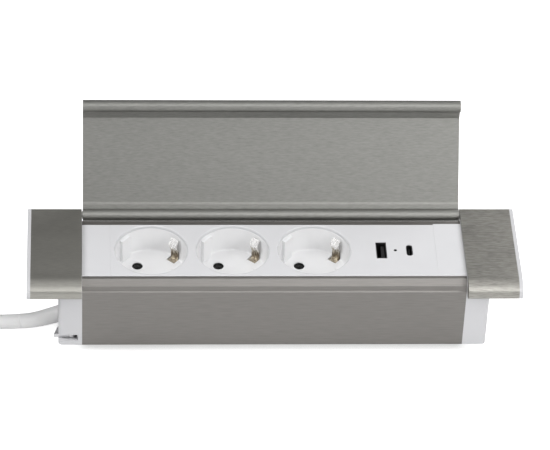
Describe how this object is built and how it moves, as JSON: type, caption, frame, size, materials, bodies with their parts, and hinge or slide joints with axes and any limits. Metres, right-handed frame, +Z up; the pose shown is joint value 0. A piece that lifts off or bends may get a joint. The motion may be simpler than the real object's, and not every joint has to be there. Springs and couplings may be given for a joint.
{
  "type": "flip-lid power strip",
  "caption": "Worktop power strip: brushed aluminium channel and hinged lid, white end caps, round earthed sockets with side clips, USB ports, screw-up clamp claws and a mains cord.",
  "frame": {"origin": "middle of the channel's underside", "axes": "+X to the right along the channel, +Y to the back where the lid is hinged, +Z up"},
  "size_m": [0.4703, 0.1416, 0.1015],
  "materials": {
    "brushed_alloy": "brushed along the length, satin",
    "white_plastic": "moulded, soft gloss",
    "steel": "zinc or nickel plated",
    "bush_plastic": "moulded, plain",
    "brass": "stamped strip",
    "board": "solder mask",
    "black_plastic": "moulded, plain",
    "lens": "clear light pipe",
    "cord_rubber": "smooth white sheath"
  },
  "bodies": {
    "frame": {"body_channel": "brushed_alloy", "cable_gland": "cord_rubber", "cord_coil": "cord_rubber", "cord_tail": "cord_rubber", "cord_tie": "black_plastic", "earth_busbar": "brass", "earth_clip_1": "brass", "earth_clip_2": "brass", "earth_clip_3": "brass", "end_cap_screws": "steel", "left_blank_panel": "white_plastic", "left_end_cap": "white_plastic", "left_end_trim": "white_plastic", "left_hinge_pin": "steel", "left_wing_cover": "brushed_alloy", "live_busbar": "brass", "neutral_busbar": "brass", "plug_body": "cord_rubber", "plug_earth_contacts": "brass", "plug_pins": "steel", "power_cord": "cord_rubber", "right_blank_panel": "white_plastic", "right_end_cap": "white_plastic", "right_end_trim": "white_plastic", "right_hinge_pin": "steel", "right_wing_cover": "brushed_alloy", "socket_insert_1": "white_plastic", "socket_insert_2": "white_plastic", "socket_insert_3": "white_plastic", "socket_panel": "white_plastic", "status_light": "lens", "supply_leads": "cord_rubber", "terminal_block": "bush_plastic", "usb_a_shell": "steel", "usb_a_tongue": "black_plastic", "usb_board_screws": "steel", "usb_c_shell": "steel", "usb_c_tongue": "black_plastic", "usb_capacitors": "black_plastic", "usb_circuit_board": "board", "usb_feed_pins": "brass", "usb_transformer": "black_plastic"},
    "lid": {"lid_panel": "brushed_alloy", "left_hinge_bush": "bush_plastic", "right_hinge_bush": "bush_plastic"},
    "left_screw": {"left_clamp_screw": "steel", "left_screw_retainer": "steel"},
    "left_claw": {"left_clamp_nut": "steel", "left_clamp_claw": "steel"},
    "right_screw": {"right_clamp_screw": "steel", "right_screw_retainer": "steel"},
    "right_claw": {"right_clamp_nut": "steel", "right_clamp_claw": "steel"}
  },
  "joints": [
    {"name": "lid_hinge", "type": "hinge", "parent": "frame", "child": "lid", "pos_m": [0, 0.0315, 0.0453], "axis": [1, 0, 0], "range_deg": [0, 123.8]},
    {"name": "left_screw_turn", "type": "hinge", "parent": "frame", "child": "left_screw", "pos_m": [-0.1124, -0.0204, 0.04], "axis": [0, 0, -1], "range_deg": [0, 11520]},
    {"name": "left_claw_climb", "type": "slide", "parent": "frame", "child": "left_claw", "axis": [0, 0, 1], "range_m": [0, 0.0224]},
    {"name": "right_screw_turn", "type": "hinge", "parent": "frame", "child": "right_screw", "pos_m": [0.1124, 0.0204, 0.04], "axis": [0, 0, -1], "range_deg": [0, 11520]},
    {"name": "right_claw_climb", "type": "slide", "parent": "frame", "child": "right_claw", "axis": [0, 0, 1], "range_m": [0, 0.0224]}
  ],
  "couplings": [
    {"joint": "left_screw_turn", "follows": "left_claw_climb", "rad_per_m": 8976},
    {"joint": "right_screw_turn", "follows": "right_claw_climb", "rad_per_m": 8976}
  ]
}
